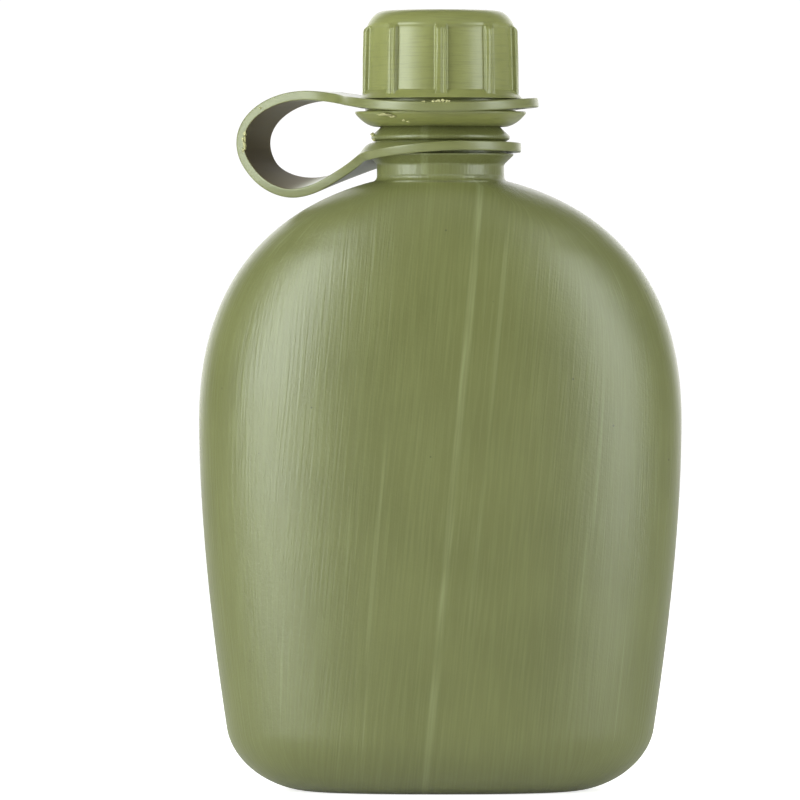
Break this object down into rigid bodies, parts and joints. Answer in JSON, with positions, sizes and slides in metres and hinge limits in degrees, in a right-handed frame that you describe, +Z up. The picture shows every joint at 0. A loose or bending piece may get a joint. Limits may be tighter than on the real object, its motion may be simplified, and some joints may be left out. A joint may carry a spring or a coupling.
{
  "type": "canteen",
  "caption": "Flat-bodied water canteen with a hollow back, a ribbed screw cap on a coarse thread, and a moulded strap that keeps the cap on the neck.",
  "frame": {"origin": "where the neck's axis meets the flat foot that the canteen stands on", "axes": "+Z up along the neck's axis, -Y out of the rounded front, +Y out of the hollow back, +X to the right as seen from the front"},
  "size_m": [0.134, 0.0723, 0.2157],
  "materials": {
    "bottle_polyethylene": "moulded, satin",
    "cap_polyethylene": "moulded, satin",
    "strap_polyethylene": "moulded, satin",
    "disc_rubber": "moulded, matt"
  },
  "bodies": {
    "bottle": {"bottle_body": "bottle_polyethylene", "bottle_neck": "bottle_polyethylene"},
    "strap": {"strap_neck_ring": "strap_polyethylene", "strap_band": "strap_polyethylene"},
    "cap_ring": {"strap_cap_ring": "strap_polyethylene"},
    "disc": {"sealing_disc": "disc_rubber"},
    "cap": {"cap": "cap_polyethylene"}
  },
  "joints": [
    {"name": "strap_swivel", "type": "hinge", "parent": "bottle", "child": "strap", "pos_m": [0, 0, 0.178], "axis": [0, 0, 1], "continuous": true},
    {"name": "cap_ring_rise", "type": "slide", "parent": "strap", "child": "cap_ring", "axis": [0, 0, 1], "range_m": [0, 0.0361]},
    {"name": "cap_rise", "type": "slide", "parent": "bottle", "child": "disc", "axis": [0, 0, 1], "range_m": [0, 0.0361]},
    {"name": "cap_turn", "type": "hinge", "parent": "disc", "child": "cap", "pos_m": [0, 0, 0.2], "axis": [0, 0, 1], "range_deg": [0, 2160]}
  ],
  "couplings": [
    {"joint": "cap_ring_rise", "follows": "cap_turn", "m_per_rad": 0.00095493},
    {"joint": "cap_rise", "follows": "cap_turn", "m_per_rad": 0.00095493}
  ]
}
